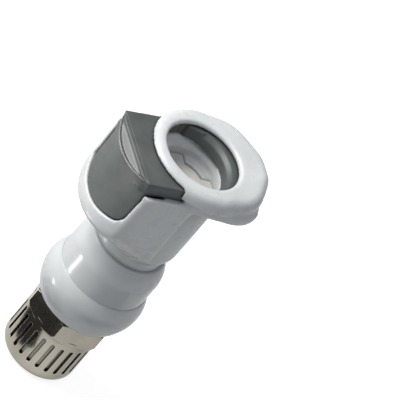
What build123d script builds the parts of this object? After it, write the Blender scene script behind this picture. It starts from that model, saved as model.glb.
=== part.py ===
from build123d import *
import math
import os

# Plastic quick disconnect coupling: a valved coupling body with a thumb latch,
# closed at the back by a tube adapter and a brass compression nut.
# The part stands on the nut's flat end. +Z is the flow axis, out of the mouth,
# and +X is the side that carries the thumb button. Depths are measured down
# from the mouth, so a height is overall_length - depth. All sizes are in mm.

# Overall
overall_length = 69.8
hex_across_flats = 17.46
fit_gap = 0.15
body_gap = 0.3

# Head, the flange round the mouth
head_depth = 6.4
head_half_width = 14.25
head_top_radius = 13.6
head_top_centre = -1.2
head_corner_radius = 9.5
head_bottom = -17.0
head_bottom_radius = 30.0
head_front_round = 2.3
head_rear_round = 1.0
lip_depth = 3.6
lip_step = 0.8

# Latch plate and its slot in the head
slot_front = 1.35
slot_rear = 4.85
plate_half_width = 10.2
plate_front = slot_front + fit_gap
plate_rear = slot_rear - fit_gap
plate_bottom = -12.4
plate_corner = 3.0
latch_travel = 2.4
slot_floor = plate_bottom - latch_travel - 0.8
latch_hole_radius = 9.1
latch_lead_in = 0.9
relief_width = 0.35
relief_height = 1.6

# Thumb pad
ridge_height = 16.4
crown_radius = 18.4
crown_front = 19.45
crown_middle = 18.2
crown_rear = 18.9
facet_depth = 1.8
pad_rear_depth = 17.7
pad_rear_half_width = 9.6
pad_side_depth = 14.9
pad_corner = 3.2
pad_underside = 12.9
pad_edge_round = 0.5

# Saddle and collar round the thumb pad
collar_gap = 0.25
collar_wall = 1.6
collar_crown = 19.0
collar_foot_depth = 28.2
saddle_low = 2.0
saddle_high = 20.5
collar_top_rear = 19.0
saddle_floor = pad_underside - latch_travel - body_gap

# Barrel and neck
barrel_radius = 9.4
barrel_end_depth = 27.6
barrel_end_round = 1.4
neck_radius = 8.2
neck_end_depth = 36.0

# Bores of the body
mouth_radius = 9.05
mouth_lead_in = 0.5
mouth_depth = 5.2
seal_bore_radius = 7.7
seal_bore_start = 6.6
ledge_depth = 8.8
throat_radius = 5.9
channel_end_depth = 14.7
seat_start = 15.4
chamber_radius = 6.75
seat_end = seat_start + chamber_radius - throat_radius

# Valve poppet
poppet_front = 8.85
poppet_ring_radius = 5.0
dish_radius = 3.65
dish_depth = 0.9
leg_count = 4
leg_width = 3.0
leg_reach = 7.45
leg_angle = -4.0
leg_thickness = 1.4
channel_clearance = 0.3
stem_radius = 2.6
guide_radius = 2.2
guide_end_depth = 24.0
valve_head_radius = 6.1
valve_head_start = 15.0
valve_head_end = 17.4
valve_travel = 4.0
seal_groove_radius = 4.95
seal_wire_radius = 0.55

# Tube adapter
adapter_front = 30.4
adapter_neck_radius = 8.9
ring_one_radius = 10.6
ring_crease_depth = 41.0
crease_radius = 10.75
ring_two_radius = 12.0
ring_two_middle = 45.2
adapter_end = 51.0
adapter_end_radius = 10.3
socket_depth = 36.2
spigot_radius = 7.15
spigot_end = 58.4
barb_radius = 3.5
barb_root_radius = 3.1
barb_end = 62.4
tube_bore_radius = 2.4
adapter_bore_radius = 3.4
seal_width = 1.4
body_groove_depth = 33.6
body_groove_radius = 7.3

# Compression nut
nut_front = adapter_end + body_gap
hex_end = 57.3
hex_corner_angle = -8.5
cap_radius = 8.8
cap_round = 2.2
cap_thread_radius = spigot_radius + body_gap
cap_thread_end = 59.0
cone_end = 64.3
tube_hole_radius = 4.9
groove_count = 24
groove_width = 0.9
groove_cut = 0.55
groove_start = 58.7
groove_end = 66.4

# Springs
valve_spring_radius = 4.6
valve_spring_wire = 0.35
valve_spring_turns = 5
latch_spring_radius = 0.85
latch_spring_wire = 0.17
latch_spring_turns = 7
latch_spring_pocket = 4.2
latch_pocket_radius = 1.2
latch_spring_depth = (plate_front + plate_rear) / 2


def height(depth):
    """Height above the nut's end of a depth below the mouth."""
    return overall_length - depth


def turned(points):
    """Solid of revolution about Z from (radius, depth) corners."""
    outline = Polyline(*[(r, 0, height(d)) for r, d in points], close=True)
    return revolve(make_face(outline), Axis.Z)


def plug(radius, start, end):
    """Cylinder on the flow axis between two depths."""
    return turned([(0, start), (radius, start), (radius, end), (0, end)])


def slab(sketch, start, end):
    """Sketch in X and Y made into a solid between two depths."""
    return extrude(Pos(0, 0, height(end)) * sketch, amount=end - start)


def side_face(sketch, x):
    """Sketch drawn as (across, depth) stood upright at a distance x."""
    plane = Plane(origin=(x, 0, overall_length), x_dir=(0, 1, 0), z_dir=(-1, 0, 0))
    return plane * sketch


def head_outline():
    """Outline of the flange: a round top on two straight sides and a broad flat foot."""
    bottom_centre = head_bottom + head_bottom_radius
    corner_y = head_half_width - head_corner_radius
    reach = head_bottom_radius - head_corner_radius
    corner_x = bottom_centre - math.sqrt(reach**2 - corner_y**2)
    spread = math.degrees(math.asin(corner_y / reach))
    edges = [CenterArc((head_top_centre, 0), head_top_radius, 0, 360)]
    edges += [CenterArc((corner_x, corner_y), head_corner_radius, 0, 360)]
    edges += [CenterArc((corner_x, -corner_y), head_corner_radius, 0, 360)]
    edges += [CenterArc((bottom_centre, 0), head_bottom_radius, 180 - spread, 2 * spread)]
    return make_hull(Curve(edges).edges())


def head():
    """Flange with a rounded lip in front and a slightly smaller wall behind it."""
    outline = head_outline()
    lip = slab(outline, 0, lip_depth)
    lip = fillet(lip.faces().sort_by(Axis.Z)[-1].edges(), head_front_round)
    wall = slab(offset(outline, -lip_step), lip_depth, head_depth)
    wall = fillet(wall.faces().sort_by(Axis.Z)[0].edges(), head_rear_round)
    return lip + wall


def pad_plan(grow=0.0, rear=pad_rear_depth):
    """Plan of the thumb pad: two nearly straight sides and an arched rear edge."""
    shift = rear - pad_rear_depth
    front = (plate_half_width, plate_front)
    side = (pad_rear_half_width, pad_side_depth + shift)
    right = Line((front[0], front[1]), (side[0], side[1]))
    back = ThreePointArc(side, (0, rear), (-side[0], side[1]))
    left = Line((-side[0], side[1]), (-front[0], front[1]))
    top = Line((-front[0], front[1]), front)
    plan = make_face([right, back, left, top])
    corners = plan.vertices().sort_by(Axis.Y)[-2:]
    plan = fillet(corners, pad_corner)
    return offset(plan, grow) if grow else plan


def crown(apex, start, end):
    """Round bar along Z whose top is the crowned surface of the pad and collar."""
    return Pos(apex - crown_radius, 0, 0) * plug(crown_radius, start, end)


def saddle():
    """Flared seat of the thumb pad, from the barrel up to the collar's crowned rim."""
    grow = collar_gap + collar_wall
    low = side_face(pad_plan(grow - 0.6, collar_foot_depth), saddle_low)
    high = side_face(pad_plan(grow, collar_top_rear), saddle_high)
    flare = loft([low, high], ruled=True)
    flare &= crown(collar_crown, 0, collar_foot_depth + 4)
    front = Pos(0, 0, height(slot_rear / 2)) * Box(60, 60, slot_rear)
    return flare - front


def pad_pocket():
    """Space that the thumb pad moves in, open at the top."""
    plan = side_face(pad_plan(collar_gap), saddle_floor)
    return extrude(plan, amount=-20)


def latch_slot():
    """Slot in the head for the latch plate, open at the top."""
    top = 30
    floor = RectangleRounded(top - slot_floor, 2 * (plate_half_width + fit_gap), plate_corner)
    return slab(Pos((top + slot_floor) / 2, 0) * floor, slot_front, slot_rear)


def body_bore():
    """Everything that is open along the flow axis, from the mouth to the tail."""
    return turned([
        (0, -1),
        (mouth_radius + mouth_lead_in + 1, -1),
        (mouth_radius + mouth_lead_in, 0),
        (mouth_radius, mouth_lead_in),
        (mouth_radius, mouth_depth),
        (seal_bore_radius, seal_bore_start),
        (seal_bore_radius, ledge_depth),
        (throat_radius, ledge_depth),
        (throat_radius, seat_start),
        (chamber_radius, seat_end),
        (chamber_radius, neck_end_depth + 1),
        (0, neck_end_depth + 1),
    ])


def leg_channels():
    """Four flat-ended channels in the ledge that guide the poppet's legs."""
    width = leg_width + 2 * channel_clearance
    reach = leg_reach + fit_gap
    cross = Rectangle(2 * reach, width) + Rectangle(width, 2 * reach)
    return slab(Rot(0, 0, leg_angle) * cross, ledge_depth, channel_end_depth)


def main_body():
    """White moulded body: head, saddle, barrel and the grooved tail inside the adapter."""
    barrel = plug(barrel_radius, head_depth - 1, barrel_end_depth)
    barrel = fillet(barrel.faces().sort_by(Axis.Z)[0].edges(), barrel_end_round)
    tail = plug(neck_radius, barrel_end_depth - 2, neck_end_depth)
    groove = turned([
        (body_groove_radius, body_groove_depth - seal_width / 2),
        (neck_radius + 1, body_groove_depth - seal_width / 2),
        (neck_radius + 1, body_groove_depth + seal_width / 2),
        (body_groove_radius, body_groove_depth + seal_width / 2),
    ])
    body = head() + barrel + saddle() + (tail - groove)
    return body - latch_slot() - pad_pocket() - body_bore() - leg_channels()


def pad_section(apex, depth):
    """Cross-section of the thumb pad at one depth, crowned on top."""
    half = plate_half_width + 1
    centre = apex - crown_radius
    edge = centre + math.sqrt(crown_radius**2 - half**2)
    top = ThreePointArc((edge, half), (apex, 0), (edge, -half))
    left = Line((edge, -half), (pad_underside, -half))
    under = Line((pad_underside, -half), (pad_underside, half))
    right = Line((pad_underside, half), (edge, half))
    return Pos(0, 0, height(depth)) * make_face([top, left, under, right])


def thumb_pad():
    """Crowned, slightly hollowed pad with the sloping facet along its front."""
    middle = (plate_front + pad_rear_depth) / 2
    form = loft([
        pad_section(crown_rear, pad_rear_depth + 0.5),
        pad_section(crown_middle, middle),
        pad_section(crown_front, plate_front),
    ])
    form &= extrude(side_face(pad_plan(), 0), amount=-30)
    rise = crown_front - ridge_height
    wedge = Polyline(
        (ridge_height, 0, height(plate_front)),
        (ridge_height + rise * 1.5, 0, height(plate_front + facet_depth * 1.5)),
        (ridge_height + rise * 1.5, 0, height(-1)),
        (ridge_height, 0, height(-1)),
        close=True,
    )
    facet = extrude(make_face(wedge), amount=20, both=True)
    return form - facet


def latch_plate():
    """Plate with the round hole, its lead-in lip and the reliefs at the sides."""
    span = pad_underside + 1.5 - plate_bottom
    shape = RectangleRounded(span + plate_corner, 2 * plate_half_width, plate_corner)
    plate = slab(Pos(plate_bottom + (span + plate_corner) / 2, 0) * shape, plate_front, plate_rear)
    centre = Pos(latch_travel, 0, 0)
    hole = centre * plug(latch_hole_radius, plate_front - 1, plate_rear + 1)
    lead = centre * turned([
        (0, plate_front - 1),
        (latch_hole_radius + latch_lead_in + 1, plate_front - 1),
        (latch_hole_radius - latch_lead_in, plate_front + 1 + latch_lead_in),
        (0, plate_front + 1 + latch_lead_in),
    ])
    lower_half = Pos(-15, 0, height(plate_front)) * Box(30, 15, 8)
    relief = Box(relief_height, 2 * (latch_hole_radius + relief_width), 8)
    relief = Pos(latch_travel - 1.2, 0, height(plate_front)) * relief
    return plate - hole - (lead & lower_half) - relief


def thumb_latch():
    """Grey latch in one piece: plate, button, facet and thumb pad."""
    latch = latch_plate() + thumb_pad()
    blind = Cylinder(latch_pocket_radius, latch_spring_pocket * 2, rotation=(0, 90, 0))
    return latch - Pos(plate_bottom, 0, height(latch_spring_depth)) * blind


def coil(radius, wire, turns, length):
    """Compression spring along Z from the origin, with the wire's ends inside the length."""
    rise = length - 2 * wire
    path = Helix(pitch=rise / turns, height=rise, radius=radius)
    start = Plane(origin=path @ 0, z_dir=path % 0)
    return Pos(0, 0, wire) * sweep(start * Circle(wire), path=path, is_frenet=True)


def latch_spring():
    """Small coil between the slot's floor and the blind hole in the plate's foot."""
    length = plate_bottom + latch_spring_pocket - slot_floor - 2 * 0.05
    spring = coil(latch_spring_radius, latch_spring_wire, latch_spring_turns, length)
    place = Pos(slot_floor + 0.05, 0, height(latch_spring_depth))
    return place * Rot(0, 90, 0) * spring


def valve_spring():
    """Coil that pushes the poppet's head onto its seat."""
    length = socket_depth - valve_head_end - 2 * 0.05
    spring = coil(valve_spring_radius, valve_spring_wire, valve_spring_turns, length)
    return Pos(0, 0, height(socket_depth) + 0.05) * spring


def valve_poppet():
    """Poppet with a dished face, four legs, a stem and the grooved valve head."""
    seal_mid = (valve_head_start + valve_head_end) / 2 - 0.1
    core = turned([
        (0, poppet_front + dish_depth),
        (dish_radius * 0.55, poppet_front + dish_depth * 0.85),
        (dish_radius, poppet_front),
        (poppet_ring_radius, poppet_front),
        (poppet_ring_radius, poppet_front + leg_thickness),
        (stem_radius, poppet_front + leg_thickness + 1),
        (stem_radius, valve_head_start - 1),
        (seal_groove_radius, valve_head_start),
        (seal_groove_radius, seal_mid + seal_wire_radius),
        (valve_head_radius, seal_mid + seal_wire_radius),
        (valve_head_radius, valve_head_end),
        (guide_radius, valve_head_end),
        (guide_radius, guide_end_depth),
        (0, guide_end_depth),
    ])
    arm_end = leg_reach - poppet_ring_radius + 0.5
    arm = Box(arm_end, leg_width, leg_thickness)
    arm = Pos(leg_reach - arm_end / 2, 0, height(poppet_front + leg_thickness / 2)) * arm
    for index in range(leg_count):
        core += Rot(0, 0, leg_angle + index * 360 / leg_count) * arm
    return core & plug(leg_reach, poppet_front - 1, guide_end_depth + 1)


def o_ring(inner_radius, wire, depth):
    """O-ring on the flow axis."""
    return Pos(0, 0, height(depth)) * Torus(inner_radius + wire, wire)


def valve_seal():
    """O-ring on the poppet's head."""
    seal_mid = (valve_head_start + valve_head_end) / 2 - 0.1
    return o_ring(seal_groove_radius, seal_wire_radius, seal_mid)


def adapter_seal():
    """O-ring between the body's tail and the adapter's socket."""
    return o_ring(body_groove_radius, (neck_radius - body_groove_radius) / 2, body_groove_depth)


def adapter_skin():
    """Outer outline of the adapter: two soft rings with a crease between them."""
    def at(radius, depth):
        return (radius, 0, height(depth))

    lead = ThreePointArc(at(adapter_neck_radius, adapter_front), at(10.1, 32.6),
                         at(ring_one_radius, 35.0))
    flank = Line(lead @ 1, at(ring_one_radius, ring_crease_depth))
    bulge = Spline(at(crease_radius, ring_crease_depth), at(ring_two_radius, ring_two_middle),
                   at(11.4, 48.6), at(adapter_end_radius, adapter_end))
    step = Line(flank @ 1, bulge @ 0)
    rear = Line(bulge @ 1, at(0, adapter_end))
    axis = Line(at(0, adapter_end), at(0, adapter_front))
    front = Line(at(0, adapter_front), lead @ 0)
    return revolve(make_face([lead, flank, step, bulge, rear, axis, front]), Axis.Z)


def barb():
    """Nose that the tube is pushed over, with two sawtooth barbs."""
    pitch = (barb_end - spigot_end) / 2
    points = [(0, spigot_end - 1), (barb_radius, spigot_end - 1)]
    for index in range(2):
        start = spigot_end + index * pitch
        points += [(barb_radius, start), (barb_root_radius, start + pitch)]
    points += [(0, barb_end)]
    return turned(points)


def tube_adapter():
    """Adapter screwed to the tube: rings, thread spigot, barb and the through bore."""
    spigot = plug(spigot_radius, adapter_end - 1, spigot_end)
    socket = plug(neck_radius + 0.03, adapter_front - 1, socket_depth)
    bore = turned([
        (0, socket_depth - 1),
        (adapter_bore_radius, socket_depth - 1),
        (adapter_bore_radius, adapter_end),
        (tube_bore_radius, spigot_end - 2),
        (tube_bore_radius, barb_end + 1),
        (0, barb_end + 1),
    ])
    return adapter_skin() + spigot + barb() - socket - bore


def hex_collar():
    """Hexagon of the nut with chamfered front corners and a turned rear blend."""
    corner_radius = hex_across_flats / math.sqrt(3)
    prism = slab(Rot(0, 0, hex_corner_angle) * RegularPolygon(corner_radius, 6), nut_front, hex_end)
    turning = turned([
        (0, nut_front),
        (hex_across_flats / 2, nut_front),
        (corner_radius, nut_front + 0.7),
        (corner_radius, hex_end - 1.6),
        (corner_radius - 0.35, hex_end - 0.8),
        (cap_radius, hex_end),
        (0, hex_end),
    ])
    return prism & turning


def finger_grooves():
    """Grooves along the cap, rounded at both ends."""
    length = groove_end - groove_start
    middle = height((groove_start + groove_end) / 2)
    plane = Plane(origin=(cap_radius - groove_cut, 0, middle), x_dir=(0, 0, 1), z_dir=(1, 0, 0))
    cutter = extrude(plane * SlotOverall(length, groove_width), amount=2)
    return [Rot(0, 0, index * 360 / groove_count) * cutter for index in range(groove_count)]


def compression_nut():
    """Plated brass nut: hexagon, grooved cap, thread bore, cone and tube hole."""
    cap = plug(cap_radius, hex_end - 1, overall_length)
    cap = fillet(cap.faces().sort_by(Axis.Z)[0].edges(), cap_round)
    inside = turned([
        (0, nut_front - 1),
        (cap_thread_radius, nut_front - 1),
        (cap_thread_radius, cap_thread_end),
        (tube_hole_radius, cone_end),
        (tube_hole_radius, overall_length + 1),
        (0, overall_length + 1),
    ])
    nut = hex_collar() + cap - inside
    return nut - finger_grooves()


pieces = {
    "main_body": main_body,
    "thumb_latch": thumb_latch,
    "latch_spring": latch_spring,
    "valve_poppet": valve_poppet,
    "valve_seal": valve_seal,
    "valve_spring": valve_spring,
    "adapter_seal": adapter_seal,
    "tube_adapter": tube_adapter,
    "compression_nut": compression_nut,
}

os.makedirs("parts", exist_ok=True)
for name, build in pieces.items():
    export_step(build(), f"parts/{name}.step")
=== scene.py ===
import math

import bpy
from mathutils import Matrix, Vector


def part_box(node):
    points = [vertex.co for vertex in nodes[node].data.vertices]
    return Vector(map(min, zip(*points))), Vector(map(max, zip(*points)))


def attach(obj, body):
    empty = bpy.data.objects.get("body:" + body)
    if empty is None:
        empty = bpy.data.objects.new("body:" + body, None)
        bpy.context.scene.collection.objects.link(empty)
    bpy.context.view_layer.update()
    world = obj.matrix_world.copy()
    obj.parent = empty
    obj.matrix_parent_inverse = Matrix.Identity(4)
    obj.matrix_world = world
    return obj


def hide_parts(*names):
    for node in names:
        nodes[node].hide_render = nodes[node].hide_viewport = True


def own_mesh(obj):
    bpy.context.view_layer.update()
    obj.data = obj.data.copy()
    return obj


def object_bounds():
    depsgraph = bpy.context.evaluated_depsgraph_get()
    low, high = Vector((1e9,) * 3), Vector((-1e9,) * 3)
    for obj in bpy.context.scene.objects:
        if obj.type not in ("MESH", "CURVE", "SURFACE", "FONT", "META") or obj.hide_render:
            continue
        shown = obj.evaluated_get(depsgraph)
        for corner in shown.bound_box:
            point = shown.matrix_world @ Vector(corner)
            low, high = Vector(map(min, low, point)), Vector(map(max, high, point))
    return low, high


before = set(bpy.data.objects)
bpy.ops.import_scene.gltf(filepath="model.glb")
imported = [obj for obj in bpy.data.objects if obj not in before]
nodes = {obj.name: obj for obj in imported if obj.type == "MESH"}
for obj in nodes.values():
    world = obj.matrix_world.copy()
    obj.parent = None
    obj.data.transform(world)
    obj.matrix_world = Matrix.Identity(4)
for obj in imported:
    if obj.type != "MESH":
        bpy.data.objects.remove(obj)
cad_low, cad_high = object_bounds()
MM = 0.001

# The view: the photograph's directions in the row frame
image_right = Vector((-0.815, 0.249, 0.523)).normalized()
image_up = Vector((0.150, -0.782, 0.605)).normalized()
to_camera = image_right.cross(image_up).normalized()
frame_width = 84.6 * MM
lens = 800
sensor = 36
mouth_centre = Vector((0, 0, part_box("main_body")[1].z))

# The latch's sloping facet: its ridge, and how far it rises and falls back to the crown
latch_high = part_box("thumb_latch")[1]
facet_point = Vector((16.4 * MM, 0, latch_high.z))
facet_normal = Vector((1.8, 0, 3.05)).normalized()

# Soft stand-ins: spacing of their points, and passes of smoothing
body_spacing = 0.34 * MM
body_passes = 60
latch_spacing = 0.22 * MM
latch_passes = 8
corner_draw = 1.8

# Springs: where each starts and ends
valve_spring_start = Vector((0, 0, 33.65 * MM))
valve_spring_end = Vector((0, 0, 52.35 * MM))
latch_spring_start = Vector((-15.55 * MM, 0, 66.7 * MM))
latch_spring_end = Vector((-8.25 * MM, 0, 66.7 * MM))

# Lamps, as power in watts, and the world's strength
key_power = 2.3
fill_power = 0.3
world_strength = 0.3
camera_white = 0.85
glossy_white = 0.4


def principled(name, base, roughness, **sockets):
    """New material with a Principled shader; sockets are set by their names."""
    made = bpy.data.materials.new(name)
    made.use_nodes = True
    shader = made.node_tree.nodes["Principled BSDF"]
    shader.inputs["Base Color"].default_value = (*base, 1)
    shader.inputs["Roughness"].default_value = roughness
    for key, value in sockets.items():
        shader.inputs[key.replace("_", " ")].default_value = value
    return made


def add(tree, kind, **values):
    """New node with its input sockets set by name."""
    node = tree.nodes.new(kind)
    for key, value in values.items():
        node.inputs[key].default_value = value
    return node


def noise(tree, scale, detail=3.0, stretch=(1, 1, 1)):
    """Noise in the object's own coordinates."""
    place = tree.nodes.new("ShaderNodeTexCoord")
    mapping = add(tree, "ShaderNodeMapping", Scale=stretch)
    texture = add(tree, "ShaderNodeTexNoise", Scale=scale, Detail=detail)
    tree.links.new(place.outputs["Object"], mapping.inputs["Vector"])
    tree.links.new(mapping.outputs["Vector"], texture.inputs["Vector"])
    return texture.outputs["Fac"]


def ramp(tree, factor, dark, light, low=0.35, high=0.65):
    """Colour ramp from dark to light over part of a factor."""
    node = tree.nodes.new("ShaderNodeValToRGB")
    node.color_ramp.elements[0].position = low
    node.color_ramp.elements[1].position = high
    node.color_ramp.elements[0].color = (*dark, 1)
    node.color_ramp.elements[1].color = (*light, 1)
    tree.links.new(factor, node.inputs["Fac"])
    return node.outputs["Color"]


def spread(tree, factor, low, high):
    """Maps a 0 to 1 factor to a range of numbers."""
    node = add(tree, "ShaderNodeMapRange", **{"To Min": low, "To Max": high})
    tree.links.new(factor, node.inputs["Value"])
    return node.outputs["Result"]


def surface(tree, height, distance, edge=0.0, strength=1.0):
    """Bump from a height, over edges softened by a radius in metres."""
    shader = tree.nodes["Principled BSDF"]
    bump = add(tree, "ShaderNodeBump", Strength=strength, Distance=distance)
    tree.links.new(height, bump.inputs["Height"])
    if edge:
        bevel = add(tree, "ShaderNodeBevel", Radius=edge)
        bevel.samples = 6
        tree.links.new(bevel.outputs["Normal"], bump.inputs["Normal"])
    tree.links.new(bump.outputs["Normal"], shader.inputs["Normal"])


def painted_recess_shade(tree, colour, distance, deepest):
    """Paints shade into a colour: darkens it in recesses, down to a share of itself."""
    recess = add(tree, "ShaderNodeAmbientOcclusion", Distance=distance)
    recess.samples = 8
    level = spread(tree, recess.outputs["AO"], deepest, 1.0)
    mix = tree.nodes.new("ShaderNodeMix")
    mix.data_type = "RGBA"
    mix.inputs["A"].default_value = (0, 0, 0, 1)
    tree.links.new(level, mix.inputs["Factor"])
    tree.links.new(colour, mix.inputs["B"])
    return mix.outputs["Result"]


def white_plastic(name, dark, light, roughness, edge):
    """Milky moulded plastic: light scatters just under a semi-gloss skin, and painted shade darkens it
    in recesses.
    """
    made = principled(name, light, roughness, Subsurface_Weight=0.25, Subsurface_Scale=1.0 * MM)
    tree = made.node_tree
    shader = tree.nodes["Principled BSDF"]
    shader.inputs["Subsurface Radius"].default_value = (1.0, 0.9, 0.8)
    shader.inputs["IOR"].default_value = 1.5
    clouds = noise(tree, 70, 4)
    milk = ramp(tree, clouds, dark, light)
    # Painted shade: the milky colour is darkened in recesses.
    tree.links.new(painted_recess_shade(tree, milk, 5 * MM, 0.62), shader.inputs["Base Color"])
    tree.links.new(spread(tree, noise(tree, 260), roughness - 0.05, roughness + 0.07),
                   shader.inputs["Roughness"])
    surface(tree, noise(tree, 420, 2), 0.06 * MM, edge, 0.35)
    return made


def facet_highlight_mask(tree):
    """1 on the sloping facet of the latch, where the grey is painted paler as a highlight, 0
    elsewhere: the distance from the facet's plane.
    """
    place = tree.nodes.new("ShaderNodeTexCoord")
    across = tree.nodes.new("ShaderNodeVectorMath")
    across.operation = "DOT_PRODUCT"
    across.inputs[1].default_value = facet_normal
    tree.links.new(place.outputs["Object"], across.inputs[0])
    near = tree.nodes.new("ShaderNodeMath")
    near.operation = "COMPARE"
    near.inputs[1].default_value = facet_normal.dot(facet_point)
    near.inputs[2].default_value = 0.04 * MM
    tree.links.new(across.outputs["Value"], near.inputs[0])
    return near.outputs["Value"]


def grey_plastic():
    """Spark-textured grey plastic of the latch, with the sloping facet along its front painted paler
    as a painted highlight.
    """
    made = principled("grey_plastic", (0.13, 0.145, 0.14), 0.42)
    tree = made.node_tree
    shader = tree.nodes["Principled BSDF"]
    shader.inputs["IOR"].default_value = 1.5
    tone = ramp(tree, noise(tree, 160, 5), (0.088, 0.1, 0.097), (0.116, 0.13, 0.126))
    # Painted highlight: the sloping facet gets this paler grey.
    pale = ramp(tree, noise(tree, 160, 5), (0.15, 0.162, 0.158), (0.2, 0.215, 0.208))
    mix = tree.nodes.new("ShaderNodeMix")
    mix.data_type = "RGBA"
    tree.links.new(facet_highlight_mask(tree), mix.inputs["Factor"])
    tree.links.new(tone, mix.inputs["A"])
    tree.links.new(pale, mix.inputs["B"])
    # Painted shade: the grey is darkened in recesses.
    tree.links.new(painted_recess_shade(tree, mix.outputs["Result"], 7 * MM, 0.25), shader.inputs["Base Color"])
    tree.links.new(spread(tree, noise(tree, 500), 0.36, 0.5), shader.inputs["Roughness"])
    surface(tree, noise(tree, 2600, 4), 0.03 * MM, 0.35 * MM, 0.5)
    return made


def nickel_plate():
    """Bright nickel plate on brass: warm, with faint turning marks, and painted shade that darkens it
    in recesses.
    """
    made = principled("nickel_plate", (0.62, 0.585, 0.51), 0.16, Metallic=1.0)
    tree = made.node_tree
    shader = tree.nodes["Principled BSDF"]
    tone = ramp(tree, noise(tree, 90, 4), (0.44, 0.41, 0.345), (0.55, 0.515, 0.44))
    # Painted shade: the plate's colour is darkened in recesses, to black in the deepest.
    tree.links.new(painted_recess_shade(tree, tone, 1.2 * MM, -0.5), shader.inputs["Base Color"])
    tree.links.new(spread(tree, noise(tree, 300), 0.10, 0.24), shader.inputs["Roughness"])
    surface(tree, noise(tree, 120, 2, (1, 1, 14)), 0.015 * MM, 0.2 * MM, 0.5)
    return made


def valve_plastic():
    """Natural translucent plastic of the poppet."""
    made = principled("valve_plastic", (0.7, 0.69, 0.66), 0.34, Subsurface_Weight=0.3,
                      Subsurface_Scale=0.8 * MM)
    tree = made.node_tree
    shader = tree.nodes["Principled BSDF"]
    tone = ramp(tree, noise(tree, 140, 4), (0.66, 0.65, 0.62), (0.76, 0.75, 0.72))
    tree.links.new(tone, shader.inputs["Base Color"])
    surface(tree, noise(tree, 700, 3), 0.02 * MM, 0.15 * MM, 0.5)
    return made


def spring_steel():
    """Drawn spring wire with fine marks along it."""
    made = principled("spring_steel", (0.55, 0.55, 0.54), 0.28, Metallic=1.0)
    tree = made.node_tree
    tree.links.new(spread(tree, noise(tree, 900), 0.2, 0.4),
                   tree.nodes["Principled BSDF"].inputs["Roughness"])
    surface(tree, noise(tree, 1500, 2), 0.01 * MM)
    return made


def seal_rubber():
    """Black O-ring rubber with a faint bloom."""
    made = principled("seal_rubber", (0.02, 0.02, 0.02), 0.55)
    tree = made.node_tree
    tone = ramp(tree, noise(tree, 200, 4), (0.014, 0.014, 0.014), (0.04, 0.04, 0.042))
    tree.links.new(tone, tree.nodes["Principled BSDF"].inputs["Base Color"])
    surface(tree, noise(tree, 1200, 3), 0.02 * MM)
    return made


def dress():
    """Gives each CAD node its material, which its stand-in takes over."""
    body = white_plastic("white_plastic", (0.64, 0.665, 0.672), (0.74, 0.76, 0.765), 0.27, 0.35 * MM)
    rings = white_plastic("adapter_plastic", (0.61, 0.635, 0.645), (0.7, 0.72, 0.73), 0.16, 0.3 * MM)
    finish = {
        "main_body": body,
        "tube_adapter": rings,
        "thumb_latch": grey_plastic(),
        "compression_nut": nickel_plate(),
        "valve_poppet": valve_plastic(),
        "valve_seal": seal_rubber(),
        "adapter_seal": seal_rubber(),
        "valve_spring": spring_steel(),
        "latch_spring": spring_steel(),
    }
    for name, material in finish.items():
        nodes[name].data.materials.clear()
        nodes[name].data.materials.append(material)


def facet_rim():
    """Thin raised edge that runs along the facet's arc, where it meets the thumb pad, in a paler grey
    that is a painted highlight.
    """
    crown = 18.4 * MM
    top = 19.4 * MM
    half = 8.9 * MM
    count = 48
    curve = bpy.data.curves.new("facet_rim", "CURVE")
    curve.dimensions = "3D"
    curve.bevel_depth = 0.24 * MM
    curve.bevel_resolution = 4
    curve.use_fill_caps = True
    spline = curve.splines.new("POLY")
    spline.points.add(count - 1)
    for index, point in enumerate(spline.points):
        y = half * (2 * index / (count - 1) - 1)
        x = top - crown + math.sqrt(crown**2 - y**2)
        z = facet_point.z - (x - facet_point.x) * facet_normal.x / facet_normal.z
        point.co = (x, y, z, 1)
        point.radius = math.sqrt(max(0.05, 1 - (y / (half * 1.02))**2))
    shape = bpy.data.objects.new("facet_rim_curve", curve)
    bpy.context.scene.collection.objects.link(shape)
    bpy.context.view_layer.update()
    mesh = bpy.data.meshes.new_from_object(shape)
    bpy.data.objects.remove(shape)
    rim = bpy.data.objects.new("facet_rim", mesh)
    bpy.context.scene.collection.objects.link(rim)
    for face in mesh.polygons:
        face.use_smooth = True
    mesh.materials.clear()
    mesh.materials.append(rim_highlight_plastic())
    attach(rim, "latch")


def rim_highlight_plastic():
    """The latch's grey, smoother and painted paler along the edge as a painted highlight."""
    made = principled("rim_highlight_plastic", (0.2, 0.215, 0.205), 0.3)
    tree = made.node_tree
    tone = ramp(tree, noise(tree, 300, 4), (0.16, 0.172, 0.165), (0.26, 0.275, 0.262))
    tree.links.new(tone, tree.nodes["Principled BSDF"].inputs["Base Color"])
    surface(tree, noise(tree, 1800, 3), 0.02 * MM)
    return made


def smooth_step(value, low, high):
    """0 below low, 1 above high, and an even rise between."""
    share = min(1, max(0, (value - low) / (high - low)))
    return share * share * (3 - 2 * share)


def applied(shape):
    """Turns an object's modifiers into its mesh."""
    bpy.context.view_layer.update()
    mesh = bpy.data.meshes.new_from_object(shape.evaluated_get(bpy.context.evaluated_depsgraph_get()))
    shape.modifiers.clear()
    shape.data = mesh
    return mesh


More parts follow.
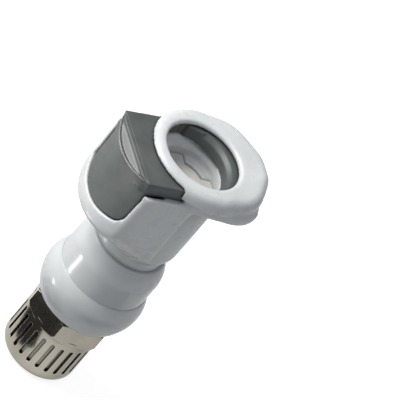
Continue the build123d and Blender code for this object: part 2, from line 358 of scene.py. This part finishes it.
def moulded(node, name, voxel, passes, softness, body, shift=None):
    """Soft-edged stand-in for a CAD node, as it leaves the mould.

    shift moves each point first. softness then says how far the point is smoothed, from 0 to 1.
    """
    source = nodes[node]
    shape = bpy.data.objects.new(name, source.data.copy())
    bpy.context.scene.collection.objects.link(shape)
    shape.matrix_world = source.matrix_world.copy()
    remesh = shape.modifiers.new("even", "REMESH")
    remesh.mode = "VOXEL"
    remesh.voxel_size = voxel
    mesh = applied(shape)
    place = shape.matrix_world
    back = place.inverted()
    group = shape.vertex_groups.new(name="soft")
    for vertex in mesh.vertices:
        point = place @ vertex.co
        if shift:
            point = shift(point, vertex)
            vertex.co = back @ point
        group.add([vertex.index], softness(point), "REPLACE")
    smooth = shape.modifiers.new("smooth", "SMOOTH")
    smooth.factor = 0.5
    smooth.iterations = passes
    smooth.vertex_group = "soft"
    mesh = applied(shape)
    for face in mesh.polygons:
        face.use_smooth = True
    mesh.materials.clear()
    mesh.materials.append(source.data.materials[0])
    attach(shape, body)
    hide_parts(node)
    return shape


def body_softness(point):
    """Outside of the body behind the head is soft; the head, the latch's seat and bores stay true."""
    depth = (mouth_centre.z - point.z) / MM
    radius = math.hypot(point.x, point.y) / MM
    behind = smooth_step(depth, 5.4, 7.2)
    outside = smooth_step(radius, 8.3, 9.0)
    wide = smooth_step(abs(point.y) / MM, 9.7, 10.6)
    seat = smooth_step(point.x / MM, 8, 10) * (1 - smooth_step(depth, 17.9, 18.8)) * (1 - wide)
    return 0.1 + 0.9 * behind * outside * (1 - seat)


def corner_share(point):
    """1 at the flange's two lower corners and 0 away from them."""
    radius = math.hypot(point.x, point.y) / MM
    if point.x > 0 or radius < 9.5:
        return 0
    corner = abs(math.sin(2 * math.atan2(point.y, -point.x)))
    return smooth_step(corner, 0.25, 1.0) * smooth_step(radius, 10, 13.5)


def drawn_in(point, amount):
    """Moves a point towards the mouth's axis."""
    scale = 1 - amount * MM / max(math.hypot(point.x, point.y), MM)
    return Vector((point.x * scale, point.y * scale, point.z))


def body_shift(point, vertex):
    """Rounds off the two lower corners of the flange's front lip, and the latch's slot with them."""
    depth = (mouth_centre.z - point.z) / MM
    share = corner_share(point)
    outer = False
    if share and 3.3 < depth < 5.0:
        facing = vertex.normal
        outer = facing.x * point.x + facing.y * point.y > 0.3 * math.hypot(point.x, point.y)
    lip = 1 - smooth_step(depth, 3.3, 4.1) if outer else 1 - smooth_step(depth, 4.9, 5.0)
    return drawn_in(point, corner_draw * lip * share)


def latch_shift(point, vertex):
    """The latch's plate has the slot's rounder corners."""
    return drawn_in(point, corner_draw * corner_share(point))


def latch_softness(point):
    """The latch's outer edges are rounded; its plate keeps its true faces in the slot."""
    return 0.2 + 0.8 * smooth_step(point.x / MM, 11.5, 13.0)


def coil(name, radius, wire, turns, start, end, node):
    """Round wire spring from start to end."""
    along = (end - start).normalized()
    side = along.orthogonal().normalized()
    other = along.cross(side)
    length = (end - start).length - 2 * wire
    steps = 28 * turns
    curve = bpy.data.curves.new(name, "CURVE")
    curve.dimensions = "3D"
    curve.bevel_depth = wire
    curve.bevel_resolution = 3
    curve.use_fill_caps = True
    spline = curve.splines.new("POLY")
    spline.points.add(steps)
    for index, point in enumerate(spline.points):
        share = index / steps
        angle = 2 * math.pi * turns * share
        around = side * math.cos(angle) + other * math.sin(angle)
        point.co = (*(start + along * (wire + length * share) + around * radius), 1)
    shape = bpy.data.objects.new(name + "_curve", curve)
    bpy.context.scene.collection.objects.link(shape)
    bpy.context.view_layer.update()
    mesh = bpy.data.meshes.new_from_object(shape)
    bpy.data.objects.remove(shape)
    made = bpy.data.objects.new(name, mesh)
    bpy.context.scene.collection.objects.link(made)
    for face in mesh.polygons:
        face.use_smooth = True
    mesh.materials.clear()
    mesh.materials.append(nodes[node].data.materials[0])
    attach(made, "coupling_body")
    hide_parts(node)
    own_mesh(made)


def springs():
    """The valve's spring and the latch's spring."""
    coil("valve_coil", 4.6 * MM, 0.35 * MM, 5, valve_spring_start, valve_spring_end,
         "valve_spring")
    coil("latch_coil", 0.85 * MM, 0.17 * MM, 7, latch_spring_start, latch_spring_end,
         "latch_spring")


def floor():
    """Pale floor that reads as white to the camera and still takes the shadow."""
    bpy.ops.mesh.primitive_plane_add(size=6, location=(0, 0, 0))
    plane = bpy.context.object
    plane.name = "floor"
    made = principled("floor", (0.42, 0.42, 0.42), 0.9)
    tree = made.node_tree
    shader = tree.nodes["Principled BSDF"]
    path = tree.nodes.new("ShaderNodeLightPath")
    seen = add(tree, "ShaderNodeMath")
    seen.operation = "MULTIPLY_ADD"
    seen.inputs[1].default_value = glossy_white
    tree.links.new(path.outputs["Is Glossy Ray"], seen.inputs[0])
    tree.links.new(spread(tree, path.outputs["Is Camera Ray"], 0, camera_white), seen.inputs[2])
    shader.inputs["Emission Color"].default_value = (1, 1, 1, 1)
    tree.links.new(seen.outputs[0], shader.inputs["Emission Strength"])
    plane.data.materials.append(made)


def card(name, centre, size, colour, glow=0.0):
    """Flat card near the floor that only reflections see, as a studio uses beside bright metal."""
    bpy.ops.mesh.primitive_plane_add(size=1, location=centre)
    made = bpy.context.object
    made.name = name
    made.scale = (size[0], size[1], 1)
    made.visible_camera = False
    made.visible_diffuse = False
    made.visible_shadow = False
    made.visible_transmission = False
    paint = principled(name, colour, 0.9, Emission_Strength=glow)
    paint.node_tree.nodes["Principled BSDF"].inputs["Emission Color"].default_value = (1, 1, 1, 1)
    made.data.materials.append(paint)


def cards():
    """A dark card for the nut's dark facet, a grey one beside it, and strips for the rings' glints."""
    dark = (0.008, 0.008, 0.008)
    grey = (0.06, 0.057, 0.05)
    card("dark_card", (27 * MM, -4 * MM, 0.4 * MM), (26 * MM, 30 * MM), dark)
    card("grey_card", (0, 44 * MM, 0.3 * MM), (60 * MM, 24 * MM), grey)
    for index in range(3):
        place = (47 * MM + index * 5 * MM, -11 * MM - index * 2 * MM, 0.5 * MM)
        card(f"strip_{index + 1}", place, (1.2 * MM, 9 * MM), dark, 60)


def area_light(name, direction, distance, size, power, colour=(1, 1, 1)):
    """Soft square light that looks at the middle of the object."""
    middle = (cad_low + cad_high) / 2
    data = bpy.data.lights.new(name, "AREA")
    data.size = size
    data.energy = power
    data.color = colour
    lamp = bpy.data.objects.new(name, data)
    bpy.context.scene.collection.objects.link(lamp)
    lamp.location = middle + direction.normalized() * distance
    lamp.rotation_mode = "QUATERNION"
    lamp.rotation_quaternion = direction.to_track_quat("Z", "Y")


def image_direction(right, up, towards):
    """Direction in the row frame of a direction given as the camera sees it."""
    return image_right * right + image_up * up + to_camera * towards


def light():
    """Soft key from above, a weak fill, and a pale even world."""
    area_light("key", image_direction(-0.25, 0.85, 0.5), 0.45, 0.28, key_power, (1.0, 0.99, 0.97))
    area_light("fill", image_direction(0.8, 0.3, 0.8), 0.6, 0.4, fill_power, (0.95, 0.98, 1.0))
    world = bpy.data.worlds.new("world")
    bpy.context.scene.world = world
    world.use_nodes = True
    background = world.node_tree.nodes["Background"]
    background.inputs["Color"].default_value = (0.93, 0.96, 1.0, 1)
    background.inputs["Strength"].default_value = world_strength


def camera():
    """Long lens, turned so that the part leans as in the picture."""
    data = bpy.data.cameras.new("camera")
    data.lens = lens
    data.sensor_width = sensor
    made = bpy.data.objects.new("camera", data)
    bpy.context.scene.collection.objects.link(made)
    target = mouth_centre - image_right * 0.85 * MM - image_up * 9.41 * MM
    distance = frame_width / 2 / math.tan(math.atan(sensor / 2 / lens))
    made.location = target + to_camera * distance
    made.rotation_mode = "QUATERNION"
    turn = Matrix((image_right, image_up, to_camera)).transposed()
    made.rotation_quaternion = turn.to_quaternion()
    data.clip_start = 0.01
    data.clip_end = 20
    bpy.context.scene.camera = made


dress()
moulded("main_body", "soft_main_body", body_spacing, body_passes, body_softness, "coupling_body",
        body_shift)
moulded("thumb_latch", "soft_thumb_latch", latch_spacing, latch_passes, latch_softness, "latch",
        latch_shift)
springs()
facet_rim()
floor()
cards()
light()
camera()
bpy.context.scene.view_settings.view_transform = "Standard"
